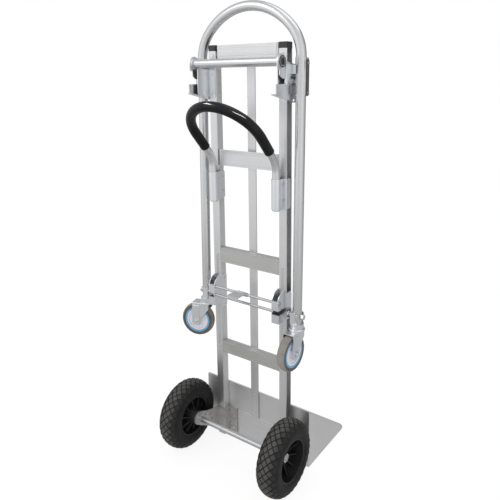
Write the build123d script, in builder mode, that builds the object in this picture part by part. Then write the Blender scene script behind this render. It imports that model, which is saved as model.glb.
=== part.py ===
from build123d import *
import os
from math import atan2, cos, radians, sin

# Convertible hand truck: an upright two-wheel truck whose loop handle frame swings and
# slides to turn it into a four-wheel platform truck.
# Millimetres. Z = 0 is the floor, X = 0 the middle of the truck, and +Y points to the load
# side. Pieces are drawn with Y = 0 on the rear face of the rails and saved with Y = 0 on the
# load face of the nose plate, so the origin lies on the floor at the foot of that face.

os.makedirs("parts", exist_ok=True)

# ---------------------------------------------------------------- driving dimensions
RUN = 0.05                 # radial clearance of a running fit
GAP = 0.1                  # gap between parts that lie face to face

RAIL_IN = 124.5            # half distance between the webs of the rails
RAIL_OUT = 154.0           # half distance over the rails' flanges
RAIL_DEPTH = 31.0
RAIL_WALL = 3.0
RAIL_FOOT = 5.0
RAIL_TOP = 1440.0
CAP_TOP = 1459.0

SHEET = 2.5                # thickness of the pressed steel brackets
PLATE = 3.0                # thickness of the heavier top bracket plates
DOUBLER = 2.0              # thickness of the plates that stiffen the rails
RIVET_R = 2.4
RIVET_HEAD_R = 4.4
RIVET_HEAD = 2.0

STRAP_HALF = 16.0
STRAP_BACK = 26.0
STRAP_FOOT = 113.0
STRAP_TOP = 1452.0

NOSE_HALF = 228.0
NOSE_BACK = RAIL_DEPTH + GAP
NOSE_THICK = 6.0
NOSE_HEIGHT = 220.0
NOSE_REACH = 314.0
NOSE_TIP = 3.5             # thickness at the tapered tip of the toe
LOAD_FACE = NOSE_BACK + NOSE_THICK

AXLE_Y = -109.0
AXLE_R = 9.5
AXLE_END = 226.0
WHEEL_R = 127.0
WHEEL_X = 214.0
WHEEL_HALF = 40.0
RIM_R = 72.0
BEARING_R = 16.0

TUBE_X = 195.0             # legs of the loop handle
TUBE_Y = 15.0
TUBE_R = 15.9
TUBE_WALL = 2.0
LOOP_BEND_Z = 1414.0       # where the legs of the loop start to bend
LOOP_RISE = 160.0          # rise of the loop's centre line above that height
LOOP_CORNER_R = 130.0      # bend radius at the loop's shoulders
LOOP_LEAN = 1.0            # degrees the loop frame hangs to the rear at rest
TUBE_FOOT = 558.0
SLIDE = 700.0              # travel of the loop tube through its collars

PIVOT_Z = 1342.0           # axis on which the loop frame swings
PIVOT_R = 8.0
SLEEVE_R = 18.0
SLEEVE_FOOT = 1297.0
SLEEVE_TOP = 1412.0
CHEEK_IN = 155.0           # inner cheek of the top brackets
CHEEK_OUT = 168.0          # outer cheek of the top brackets
CROSS_Y = -54.0
CROSS_Z = 1399.0
CROSS_R = 14.0
LATCH_Y = -20.0
LATCH_Z = 1372.0

GRAB_X = 128.7             # rear grab handle
GRAB_Y = -22.6
GRAB_R = 12.7
GRAB_FOOT = 936.0
GRAB_BEND_Z = 1058.0
GRAB_BEND_R = 80.0
GRAB_TILT = 42.3
GRAB_STRAIGHT = 87.0
GRIP_R = 16.2
CLAMP_FOOT = 941.0
CLAMP_TOP = 1040.0

CATCH_REAR = -42.0         # lower catch brackets and their rods
CATCH_OUT = 145.0
PEDAL_ROD_Y = -35.0
PEDAL_ROD_Z = 627.0
LOCK_ROD_Y = -36.0
LOCK_ROD_Z = 596.0
ROD_R = 4.5
PEDAL_LEFT = -31.0
PEDAL_RIGHT = 14.0
PEDAL_REAR = -85.0

BOLT_Z = 583.0             # cross bolts at the feet of the loop handle
BOLT_R = 6.0
ROLLER_R = 9.0
FOOT_IN = 177.2
FOOT_BASE = 558.0
FOOT_TOP = 596.0

CASTER_R = 63.5
CASTER_HALF = 15.5
CASTER_Z = 467.0
CASTER_TRAIL = 36.0
BAND_R = 49.0
BAND_IN = 42.0
FORK_HALF = 18.5           # half the width inside the fork
FORK_PLATE_Z = 533.0
FORK_PLATE_TOP = 536.5
HEAD_TOP = 549.4
FORK_TURN = {-1: -73.0, 1: -2.0}  # swivel of each caster about +Z from trailing to the rear

SIDES = {-1: "left", 1: "right"}
BRACES = {
    "cross_brace_top": (1415.0, 1458.0),
    "cross_brace_upper": (1060.0, 1115.0),
    "cross_brace_middle": (710.0, 762.0),
    "cross_brace_lower": (357.0, 400.0),
}
BRACE_DEPTH = STRAP_BACK - GAP
BRACE_BEND = 12.0
BRACE_RIVET_Y = 17.0
DOUBLER_RIVETS = (1295.0, 1341.0, 1383.0)
CLAMP_RIVETS = (969.0, 1021.0)
CATCH_RIVETS = (545.0, 645.0)
AXLE_RIVETS = (44.0, 96.0)
WEB_RIVET_Y = 20.0
CHEEK_RIVETS = (1305.0, 1366.0)
FLANGE_RIVET_X = 140.0
EDGE_RIVET_X = 138.0       # small rivets on the rear flanges, beside the braces
EDGE_RIVETS = (379.0, 738.0, 1425.0)


# ---------------------------------------------------------------- shared construction
def tube_across(y, z, radius, x_from, x_to, mode=Mode.ADD):
    """A round bar or hole along X, in the part being built."""
    with BuildSketch(Plane.YZ.offset(x_from)) as section:
        with Locations((y, z)):
            Circle(radius)
    extrude(section.sketch, amount=x_to - x_from, mode=mode)


def block(x_span, y_span, z_span, mode=Mode.ADD):
    """A rectangular block between pairs of coordinates, in any order."""
    middle = [(low + high) / 2 for low, high in (x_span, y_span, z_span)]
    sizes = [abs(high - low) for low, high in (x_span, y_span, z_span)]
    with Locations(tuple(middle)):
        Box(*sizes, mode=mode)


def side_plate(side, outline, x_in, thickness, mode=Mode.ADD):
    """A flat plate parallel to YZ with the given outline, growing outward from x_in."""
    with BuildSketch(Plane.YZ.offset(side * x_in)) as section:
        with BuildLine():
            Polyline(*outline, close=True)
        make_face()
    extrude(section.sketch, amount=side * thickness, mode=mode)


def rivet_holes_x(side, x_in, x_out, y, heights):
    for height in heights:
        tube_across(y, height, RIVET_R + RUN, side * x_in, side * x_out, Mode.SUBTRACT)


def rivet_holes_y(places, y_from, y_to):
    """Rivet holes along Y at (x, z) places."""
    with BuildSketch(Plane.XZ.offset(-y_from)) as section:
        with Locations(*places):
            Circle(RIVET_R + RUN)
    extrude(section.sketch, amount=-(y_to - y_from), mode=Mode.SUBTRACT)


def rivets_x(side, places, x_from, x_to):
    """Rivets along X at (y, z) places, clamping from x_from to x_to."""
    low, high = sorted((side * x_from, side * x_to))
    for start, length, radius in (
        (low, high - low, RIVET_R),
        (low - RIVET_HEAD, RIVET_HEAD, RIVET_HEAD_R),
        (high, RIVET_HEAD, RIVET_HEAD_R),
    ):
        with BuildSketch(Plane.YZ.offset(start)) as section:
            with Locations(*places):
                Circle(radius)
        extrude(section.sketch, amount=length)


def rivets_y(places, y_from, y_to):
    """Rivets along Y at (x, z) places, clamping from y_from to y_to."""
    for start, length, radius in (
        (y_from, y_to - y_from, RIVET_R),
        (y_from - RIVET_HEAD, RIVET_HEAD, RIVET_HEAD_R),
        (y_to, RIVET_HEAD, RIVET_HEAD_R),
    ):
        with BuildSketch(Plane.XZ.offset(-start)) as section:
            with Locations(*places):
                Circle(radius)
        extrude(section.sketch, amount=-length)


def hex_across(y, z, across_flats, x_from, x_to):
    """A hexagon nut or bolt head along X."""
    with BuildSketch(Plane.YZ.offset(x_from)) as section:
        with Locations((y, z)):
            RegularPolygon(across_flats / 2, 6, major_radius=False)
    extrude(section.sketch, amount=x_to - x_from)


def save(part, name):
    saved = part.moved(Location((0, -LOAD_FACE, 0)))
    saved.label = name
    export_step(saved, f"parts/{name}.step")


def hung(part):
    """A piece of the loop frame, leaned about the pivot axis as the frame hangs at rest."""
    return part.rotate(Axis((0, TUBE_Y, PIVOT_Z), (1, 0, 0)), -LOOP_LEAN)


def brace_rivet_heights(span):
    low, high = span[0], min(span[1], RAIL_TOP)
    return (low + (high - low) / 4, high - (high - low) / 4)


# ---------------------------------------------------------------- rails and their caps
for side, word in SIDES.items():
    inner = side * RAIL_IN
    outer = side * RAIL_OUT
    web = side * (RAIL_IN + RAIL_WALL)
    with BuildPart() as rail:
        with BuildSketch(Plane.XY.offset(RAIL_FOOT)):
            with BuildLine():
                Polyline(
                    (inner, 0),
                    (outer, 0),
                    (outer, RAIL_WALL),
                    (web, RAIL_WALL),
                    (web, RAIL_DEPTH - RAIL_WALL),
                    (outer, RAIL_DEPTH - RAIL_WALL),
                    (outer, RAIL_DEPTH),
                    (inner, RAIL_DEPTH),
                    close=True,
                )
            make_face()
        extrude(amount=RAIL_TOP - RAIL_FOOT)
        corners = rail.edges().filter_by(Axis.Z).filter_by(lambda e: abs(e.center().X - inner) < 1e-3)
        fillet(corners, radius=2.0)
        for span in BRACES.values():
            rivet_holes_x(side, RAIL_IN - 1, RAIL_IN + 4, BRACE_RIVET_Y, brace_rivet_heights(span))
        web_rivets = CLAMP_RIVETS + CATCH_RIVETS + AXLE_RIVETS
        rivet_holes_x(side, RAIL_IN - 1, RAIL_IN + 4, WEB_RIVET_Y, web_rivets)
        rivet_holes_x(side, RAIL_IN - 1, RAIL_IN + 4, RAIL_DEPTH / 2, DOUBLER_RIVETS)
        flange_places = [(side * FLANGE_RIVET_X, z) for z in CHEEK_RIVETS]
        edge_places = [(side * EDGE_RIVET_X, z) for z in EDGE_RIVETS]
        rivet_holes_y(flange_places + edge_places, -1, RAIL_WALL + 1)
        rivet_holes_y(flange_places, RAIL_DEPTH - RAIL_WALL - 1, RAIL_DEPTH + 1)
        tube_across(9.0, 1427.5, 3.0, side * (RAIL_IN - 1), side * (RAIL_IN + 4), Mode.SUBTRACT)
    save(rail.part, f"rail_{word}")

    with BuildPart() as cap:
        block(
            (side * RAIL_IN, side * (RAIL_OUT + 0.8)),
            (-0.8, RAIL_DEPTH + 0.8),
            (RAIL_TOP + GAP, CAP_TOP),
        )
        fillet(cap.edges().filter_by(Axis.Z), radius=3.0)
        fillet(cap.faces().sort_by(Axis.Z)[-1].edges(), radius=2.0)
        block(
            (side * (RAIL_IN + RAIL_WALL + RIVET_HEAD + 0.5), side * (RAIL_OUT - 1)),
            (RAIL_WALL + 0.3, RAIL_DEPTH - RAIL_WALL - 0.3),
            (RAIL_TOP - 6, RAIL_TOP + 1),
        )
    save(cap.part, f"rail_cap_{word}")


# ---------------------------------------------------------------- cross braces
def end_tab_holes(span):
    for side in SIDES:
        rivet_holes_x(side, RAIL_IN - 4, RAIL_IN + 1, BRACE_RIVET_Y, brace_rivet_heights(span))


for name in ("cross_brace_top", "cross_brace_upper"):
    low, high = BRACES[name]
    reach = RAIL_IN - GAP
    with BuildPart() as brace:
        with BuildSketch(Plane.XY.offset(low)) as plan:
            with Locations((0, BRACE_DEPTH / 2)):
                Rectangle(2 * reach, BRACE_DEPTH)
            fillet(plan.vertices().group_by(Axis.Y)[0], radius=BRACE_BEND)
            with BuildSketch(mode=Mode.PRIVATE) as hollow:
                with Locations((0, SHEET + BRACE_DEPTH / 2)):
                    Rectangle(2 * (reach - SHEET), BRACE_DEPTH)
                fillet(hollow.vertices().group_by(Axis.Y)[0], radius=BRACE_BEND - SHEET)
            add(hollow.sketch, mode=Mode.SUBTRACT)
        extrude(amount=high - low)
        for groove in (high - 6, high - 12, low + 6):
            block((-reach + 16, reach - 16), (-1, 0.6), (groove, groove + 1.2), Mode.SUBTRACT)
        end_tab_holes((low, high))
    save(brace.part, name)

for name in ("cross_brace_middle", "cross_brace_lower"):
    low, high = BRACES[name]
    reach = RAIL_IN - GAP
    lip = 7.0
    recess = 1.6
    with BuildPart() as brace:
        block((-reach, reach), (0, BRACE_DEPTH), (low, high))
        block(
            (-reach + SHEET, reach - SHEET),
            (recess + SHEET, BRACE_DEPTH + 1),
            (low + SHEET, high - SHEET),
            Mode.SUBTRACT,
        )
        block((-reach - 1, reach + 1), (-1, recess), (low + lip, high - lip), Mode.SUBTRACT)
        for step in range(4):
            groove = 5.0 + 5.0 * step
            block((-reach - 1, reach + 1), (groove, groove + 1.5), (high - 0.6, high + 1), Mode.SUBTRACT)
        end_tab_holes((low, high))
    save(brace.part, name)


# ---------------------------------------------------------------- centre strap, nose plate
STRAP_RIVETS = (135.0, 207.0)

with BuildPart() as centre_strap:
    block((-STRAP_HALF, STRAP_HALF), (STRAP_BACK, RAIL_DEPTH), (STRAP_FOOT, STRAP_TOP))
    fillet(centre_strap.edges().filter_by(Axis.Z), radius=1.0)
    rivet_holes_y([(0, z) for z in STRAP_RIVETS], STRAP_BACK - 1, RAIL_DEPTH + 1)
save(centre_strap.part, "centre_strap")

FLANGE_IN = 84.0           # nose plate flange of the axle brackets
BACKING = 1.4              # raised lower band on the rear of the nose plate
FLANGE_RIVETS = [(side * 99.0, z) for side in SIDES for z in (32.0, 83.0)]

with BuildPart() as nose_plate:
    with BuildSketch(Plane.YZ.offset(-NOSE_HALF)) as profile:
        with BuildLine():
            Polyline(
                (NOSE_BACK, 0),
                (NOSE_REACH, 0),
                (NOSE_REACH, NOSE_TIP),
                (NOSE_REACH - 30, NOSE_THICK),
                (LOAD_FACE, NOSE_THICK),
                (LOAD_FACE, NOSE_HEIGHT),
                (NOSE_BACK, NOSE_HEIGHT),
                close=True,
            )
        make_face()
    extrude(amount=2 * NOSE_HALF)
    block((2 - FLANGE_IN, FLANGE_IN - 2), (NOSE_BACK - BACKING, NOSE_BACK + 1), (14, STRAP_FOOT - 0.5))
    bend = nose_plate.edges().filter_by(Axis.X)
    fillet(bend.filter_by(lambda e: abs(e.center().Y - LOAD_FACE) < 0.1 and e.center().Z < 10), radius=10)
    fillet(bend.filter_by(lambda e: abs(e.center().Y - NOSE_BACK) < 0.1 and e.center().Z < 1), radius=3)
    tips = nose_plate.edges().filter_by(Axis.Z).filter_by(lambda e: e.center().Y > NOSE_REACH - 1)
    fillet(tips, radius=22)
    fillet(nose_plate.edges().filter_by(Axis.Y).filter_by(lambda e: e.center().Z > NOSE_HEIGHT - 1), radius=4)
    rivet_holes_y([(0, z) for z in STRAP_RIVETS] + FLANGE_RIVETS, NOSE_BACK - 1, LOAD_FACE + 1)
save(nose_plate.part, "nose_plate")


# ---------------------------------------------------------------- axle, its brackets and nuts
ARM_IN = RAIL_OUT + 0.2
ARM_OUT = 160.0
INNER_WALL = 118.5
HOUSING_FOOT = 22.0
HOUSING_TOP = 118.0
LOBE_R = 24.0

for side, word in SIDES.items():
    with BuildPart() as axle_bracket:
        with BuildSketch(Plane.YZ.offset(side * ARM_IN)) as arm:
            with BuildLine():
                top_curve = Spline(
                    (AXLE_Y + 14, WHEEL_R + 20),
                    (-62, 132),
                    (0, HOUSING_TOP),
                    tangents=[(1, -0.45), (1, -0.1)],
                )
                Polyline(
                    top_curve @ 1,
                    (RAIL_DEPTH - 4, HOUSING_TOP),
                    (RAIL_DEPTH - 4, HOUSING_FOOT),
                    (0, HOUSING_FOOT),
                )
                lower_curve = Spline(
                    (0, HOUSING_FOOT),
                    (-45, 54),
                    (AXLE_Y - 8, WHEEL_R - 22),
                    tangents=[(-1, 0.2), (-1, 0.9)],
                )
                Line(lower_curve @ 1, top_curve @ 0)
            make_face()
            with Locations((AXLE_Y, WHEEL_R)):
                Circle(LOBE_R)
        extrude(amount=side * (ARM_OUT - ARM_IN))
        with BuildSketch(Plane.YZ.offset(side * 148)):
            with Locations((AXLE_Y, WHEEL_R)):
                Circle(19)
        extrude(amount=side * 14)
        block((side * INNER_WALL, side * ARM_OUT), (-4.2, -GAP), (HOUSING_FOOT, HOUSING_TOP))
        housing = (HOUSING_FOOT, HOUSING_TOP)
        block((side * INNER_WALL, side * (RAIL_IN - GAP)), (-4.2, RAIL_DEPTH - GAP), housing)
        flange_y = (RAIL_DEPTH - 6, RAIL_DEPTH - GAP)
        block((side * FLANGE_IN, side * (INNER_WALL + 1)), flange_y, (14, HOUSING_TOP))
        for y, z, radius in ((-78, 127, 5), (-52, 112, 4), (-84, 96, 4), (-40, 88, 5)):
            tube_across(y, z, radius, side * (ARM_IN - 1), side * (ARM_IN + 3), Mode.SUBTRACT)
        tube_across(AXLE_Y, WHEEL_R, AXLE_R + RUN, side * 140, side * 170, Mode.SUBTRACT)
        rivet_holes_x(side, INNER_WALL - 1, RAIL_IN + 1, WEB_RIVET_Y, AXLE_RIVETS)
        flange_rivets = [place for place in FLANGE_RIVETS if place[0] * side > 0]
        rivet_holes_y(flange_rivets, RAIL_DEPTH - 8, RAIL_DEPTH + 1)
    save(axle_bracket.part, f"axle_bracket_{word}")

with BuildPart() as axle:
    tube_across(AXLE_Y, WHEEL_R, AXLE_R, -AXLE_END, AXLE_END)
    chamfer(axle.edges().filter_by(GeomType.CIRCLE), length=1.2)
save(axle.part, "axle")

HUB_IN = 164.0             # ends of the wheel hubs on the axle
HUB_OUT = 212.0

with BuildPart() as axle_fasteners:
    for side in SIDES:
        for start, end, radius in ((162.1, 163.8, 15.0), (212.2, 214.2, 15.0)):
            tube_across(AXLE_Y, WHEEL_R, radius, side * start, side * end)
        hex_across(AXLE_Y, WHEEL_R, 27.0, side * 214.2, side * 223.5)
    tube_across(AXLE_Y, WHEEL_R, AXLE_R + RUN, -AXLE_END, AXLE_END, Mode.SUBTRACT)
save(axle_fasteners.part, "axle_washers_and_nuts")


# ---------------------------------------------------------------- road wheels
def wheel_plane(side, x, y, z):
    """Sketch plane through a wheel's axle: local x runs outward, local y runs up."""
    return Plane(origin=(side * x, y, z), x_dir=(side, 0, 0), z_dir=(0, -side, 0))


def wheel_axis(x, y, z):
    return Axis((x, y, z), (1, 0, 0))


RIBS = 10
WEB_IN = -12.0             # wheel web, measured from the wheel's middle
WEB_OUT = -6.0

for side, word in SIDES.items():
    centre = wheel_plane(side, WHEEL_X, AXLE_Y, WHEEL_R)
    spin = wheel_axis(side * WHEEL_X, AXLE_Y, WHEEL_R)
    with BuildPart() as tyre:
        with BuildSketch(centre):
            with BuildLine():
                Line((-33, RIM_R + GAP), (33, RIM_R + GAP))
                ThreePointArc((33, RIM_R + GAP), (WHEEL_HALF, 97), (31, 117))
                ThreePointArc((31, 117), (0, WHEEL_R), (-31, 117))
                ThreePointArc((-31, 117), (-WHEEL_HALF, 97), (-33, RIM_R + GAP))
            make_face()
        revolve(axis=spin)
    save(tyre.part, f"wheel_tyre_{word}")

    with BuildPart() as hub:
        with BuildSketch(centre):
            with BuildLine():
                Polyline(
                    (HUB_IN - WHEEL_X, BEARING_R + RUN),
                    (HUB_OUT - WHEEL_X, BEARING_R + RUN),
                    (HUB_OUT - WHEEL_X, 22),
                    (WEB_OUT, 26),
                    (WEB_OUT, 62),
                    (20, 66),
                    (34, 68),
                    (34, RIM_R),
                    (-34, RIM_R),
                    (-34, 68),
                    (-20, 65),
                    (WEB_IN, 62),
                    (WEB_IN, 34),
                    (HUB_IN - WHEEL_X, 21),
                    close=True,
                )
            make_face()
        revolve(axis=spin)
        for index in range(RIBS):
            angle = 360 / RIBS * index
            facing = (0, cos(radians(angle)), sin(radians(angle)))
            with BuildSketch(Plane(centre.origin, x_dir=(side, 0, 0), z_dir=facing)):
                with BuildLine():
                    Polyline(
                        (WEB_OUT - 1, 24),
                        (HUB_OUT - WHEEL_X + 1, 23),
                        (14, 66),
                        (WEB_OUT - 1, 66),
                        close=True,
                    )
                make_face()
                with BuildLine():
                    Polyline((WEB_IN + 1, 30), (-36, 27), (-24, 66), (WEB_IN + 1, 66), close=True)
                make_face()
            extrude(amount=1.8, both=True)
    save(hub.part, f"wheel_hub_{word}")

    with BuildPart() as bearings:
        for start in (HUB_IN - WHEEL_X, HUB_OUT - WHEEL_X - 12):
            low = side * (WHEEL_X + start)
            tube_across(AXLE_Y, WHEEL_R, BEARING_R, low, low + side * 12)
        tube_across(AXLE_Y, WHEEL_R, AXLE_R + RUN, side * 160, side * 216, Mode.SUBTRACT)
    save(bearings.part, f"wheel_bearings_{word}")


# ---------------------------------------------------------------- top brackets
NOTCH_IN = -44.0
NOTCH_LOW = PIVOT_Z - 8.0
NOTCH_HIGH = PIVOT_Z + 8.0
BRACKET_REAR = -84.8       # clears the heads of the casters when the bolts are in the notches
POCKET = (-17.0, 6.0, 1303.0, 1329.0)    # window in the outer cheek: y and z limits
GUARD_IN = 174.6           # pressed cover over each latch hook
GUARD_OUT = 176.6
RIDGE_Y = (-37.0, -30.5)
SLID_REACH = PIVOT_Z - BOLT_Z - SLIDE    # from the pivot to the foot bolts, loop fully slid
SLID_BOLT = (
    # where the bolts pass the brackets when the loop slides up without being swung
    TUBE_Y - SLID_REACH * sin(radians(LOOP_LEAN)),
    PIVOT_Z - SLID_REACH * cos(radians(LOOP_LEAN)),
)
LATCH_GUARD = [
    (-34, 1391),
    (11, 1390.5),
    (18, 1385),
    (22, 1372),
    (19, 1363),
    (11, 1358.5),
    (-4, 1359),
    (-14, 1355),
    (-24, 1346),
    (-31, 1334),
    (-34, 1334),
]

for side, word in SIDES.items():
    with BuildPart() as top_bracket:
        with BuildSketch(Plane.YZ.offset(side * CHEEK_OUT)):
            with BuildLine():
                Polyline(
                    (-84, 1305),
                    (24, 1280),
                    (30, 1300),
                    (30, 1352),
                    (26, 1366),
                    (26, 1391),
                    (-40, 1402),
                    (CROSS_Y, CROSS_Z),
                    (-78, CROSS_Z),
                    (-78, 1379),
                    (-66, 1374),
                    (-66, 1361),
                    (-58, 1354),
                    (-52, NOTCH_HIGH),
                    (NOTCH_IN, NOTCH_HIGH),
                    (NOTCH_IN, NOTCH_LOW),
                    (BRACKET_REAR, NOTCH_LOW),
                    close=True,
                )
            make_face()
            with Locations((CROSS_Y, CROSS_Z)):
                Circle(23)
            with Locations((NOTCH_IN, PIVOT_Z)):
                Circle(8, mode=Mode.SUBTRACT)
            with Locations(((POCKET[0] + POCKET[1]) / 2, (POCKET[2] + POCKET[3]) / 2)):
                RectangleRounded(POCKET[1] - POCKET[0], POCKET[3] - POCKET[2], 3, mode=Mode.SUBTRACT)
        extrude(amount=side * PLATE)
        inner_cheek = [
            (-56, 1299),
            (-6, 1286),
            (RAIL_DEPTH + PLATE, 1286),
            (RAIL_DEPTH + PLATE, 1383),
            (-56, 1383),
        ]
        side_plate(side, inner_cheek, CHEEK_IN, PLATE)
        floor = [(-90, 1303), (24, 1276.5), (24, 1280), (-86, 1306)]
        side_plate(side, floor, CHEEK_IN, CHEEK_OUT + PLATE - CHEEK_IN)
        side_plate(side, LATCH_GUARD, GUARD_IN, GUARD_OUT - GUARD_IN)
        block((side * (CHEEK_OUT + 1), side * GUARD_OUT), RIDGE_Y, (1332, 1392))
        block((side * (CHEEK_OUT + 1), side * GUARD_OUT), (RIDGE_Y[1] - 1, 11), (1389, 1392))
        rounded = top_bracket.edges().filter_by(Axis.Z).filter_by(
            lambda e: abs(abs(e.center().X) - GUARD_OUT) < 0.1 and abs(e.center().Y - RIDGE_Y[0]) < 0.1)
        fillet(rounded, radius=2)
        block((side * (GUARD_OUT - 1), side * 190), (-8.5, -6), (1363, 1390))
        roof = [(-8, 1377.5), (10, 1369.5), (10, 1366.5), (-8, 1374.5)]
        side_plate(side, roof, CHEEK_IN, CHEEK_OUT + PLATE - CHEEK_IN)
        for y_span in ((-PLATE - GAP, -GAP), (RAIL_DEPTH + GAP, RAIL_DEPTH + PLATE)):
            block((side * 128, side * (CHEEK_IN + 1)), y_span, (1290, 1380))
        tube_across(CROSS_Y, CROSS_Z, 20, side * (CHEEK_OUT - 4), side * (CHEEK_OUT + PLATE + 2))
        tube_across(CROSS_Y, CROSS_Z, CROSS_R + RUN, side * 150, side * 180, Mode.SUBTRACT)
        tube_across(TUBE_Y, PIVOT_Z, PIVOT_R + RUN, side * 150, side * 180, Mode.SUBTRACT)
        tube_across(LATCH_Y, LATCH_Z, 4.05, side * 160, side * 175, Mode.SUBTRACT)
        tube_across(*SLID_BOLT, ROLLER_R + 0.5, side * 159.5, side * 166, Mode.SUBTRACT)
        tube_across(*SLID_BOLT, BOLT_R + 0.5, side * 165, side * 172, Mode.SUBTRACT)
        flange_places = [(side * FLANGE_RIVET_X, z) for z in CHEEK_RIVETS]
        rivet_holes_y(flange_places, -PLATE - 1, 1)
        rivet_holes_y(flange_places, RAIL_DEPTH - 1, RAIL_DEPTH + PLATE + 1)
    save(top_bracket.part, f"top_bracket_{word}")

with BuildPart() as top_cross_tube:
    tube_across(CROSS_Y, CROSS_Z, CROSS_R, -CHEEK_OUT - 6, CHEEK_OUT + 6)
    tube_across(CROSS_Y, CROSS_Z, CROSS_R - 2.2, -CHEEK_OUT - 7, CHEEK_OUT + 7, Mode.SUBTRACT)
save(top_cross_tube.part, "top_cross_tube")


# ---------------------------------------------------------------- latch hooks
LATCH_IN = CHEEK_OUT + PLATE + 0.3
for side, word in SIDES.items():
    with BuildPart() as latch:
        hook = [
            (-27, 1379),
            (-14, 1381),
            (-11, 1364),
            (-12, 1349),
            (-8, 1339),
            (-2, 1331),
            (-4, 1325),
            (-11, 1329),
            (-18, 1339),
            (-23, 1352),
            (-27, 1364),
        ]
        side_plate(side, hook, LATCH_IN, SHEET)
        tube_across(LATCH_Y, LATCH_Z, 4.0 + 2 * RUN, side * 165, side * 180, Mode.SUBTRACT)
    save(latch.part, f"latch_hook_{word}")


# ---------------------------------------------------------------- plates inside the rails
def web_plate(side, low, high, rivet_y, heights):
    x_span = (side * (RAIL_IN - GAP), side * (RAIL_IN - GAP - DOUBLER))
    block(x_span, (5, 26), (low, high))
    rivet_holes_x(side, RAIL_IN - 4, RAIL_IN + 1, rivet_y, heights)


with BuildPart() as rail_doublers:
    for side in SIDES:
        web_plate(side, 1284, 1394, RAIL_DEPTH / 2, DOUBLER_RIVETS)
        web_plate(side, CLAMP_FOOT - 28, CLAMP_TOP + 11, WEB_RIVET_Y, CLAMP_RIVETS)
save(rail_doublers.part, "rail_doubler_plates")


# ---------------------------------------------------------------- rear grab handle
tilt = radians(GRAB_TILT)
up_tilt = (0, -sin(tilt), cos(tilt))
bend_end_y = GRAB_Y - GRAB_BEND_R * (1 - cos(tilt))
bend_end_z = GRAB_BEND_Z + GRAB_BEND_R * sin(tilt)
loop_y = bend_end_y - GRAB_STRAIGHT * sin(tilt)
loop_z = bend_end_z + GRAB_STRAIGHT * cos(tilt)
crown = (0, loop_y - GRAB_X * sin(tilt), loop_z + GRAB_X * cos(tilt))
half_tilt = tilt / 2


def grab_bend(side):
    """The upward and rearward bend of one leg, as an arc."""
    mid = (
        side * GRAB_X,
        GRAB_Y - GRAB_BEND_R * (1 - cos(half_tilt)),
        GRAB_BEND_Z + GRAB_BEND_R * sin(half_tilt),
    )
    start = (side * GRAB_X, GRAB_Y, GRAB_BEND_Z)
    return start, mid, (side * GRAB_X, bend_end_y, bend_end_z)


with BuildPart() as rear_handle_tube:
    with BuildLine() as grab_path:
        start, mid, end = grab_bend(-1)
        leg = Line((-GRAB_X, GRAB_Y, GRAB_FOOT), start)
        ThreePointArc(start, mid, end)
        Line(end, (-GRAB_X, loop_y, loop_z))
        ThreePointArc((-GRAB_X, loop_y, loop_z), crown, (GRAB_X, loop_y, loop_z))
        start, mid, end = grab_bend(1)
        Line((GRAB_X, loop_y, loop_z), end)
        ThreePointArc(end, mid, start)
        Line(start, (GRAB_X, GRAB_Y, GRAB_FOOT))
    with BuildSketch(Plane.XY.offset(GRAB_FOOT)):
        with Locations((-GRAB_X, GRAB_Y)):
            Circle(GRAB_R)
            Circle(GRAB_R - 2.0, mode=Mode.SUBTRACT)
    sweep(path=grab_path.wires()[0])
save(rear_handle_tube.part, "rear_handle_tube")

GRIP_START = 0.25          # share of the straight length left bare below the grip
grip_y = bend_end_y + (loop_y - bend_end_y) * GRIP_START
grip_z = bend_end_z + (loop_z - bend_end_z) * GRIP_START
with BuildPart() as rear_handle_grip:
    with BuildLine() as grip_path:
        Line((-GRAB_X, grip_y, grip_z), (-GRAB_X, loop_y, loop_z))
        ThreePointArc((-GRAB_X, loop_y, loop_z), crown, (GRAB_X, loop_y, loop_z))
        Line((GRAB_X, loop_y, loop_z), (GRAB_X, grip_y, grip_z))
    with BuildSketch(Plane(origin=(-GRAB_X, grip_y, grip_z), x_dir=(1, 0, 0), z_dir=up_tilt)):
        Circle(GRIP_R)
        Circle(GRAB_R + RUN, mode=Mode.SUBTRACT)
    sweep(path=grip_path.wires()[0])
save(rear_handle_grip.part, "rear_handle_grip")

SADDLE_IN = GRAB_X - GRAB_R - RUN - SHEET
SADDLE_OUT = GRAB_X + GRAB_R + RUN + SHEET
EAR_OUT = RAIL_OUT + GAP + SHEET

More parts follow.
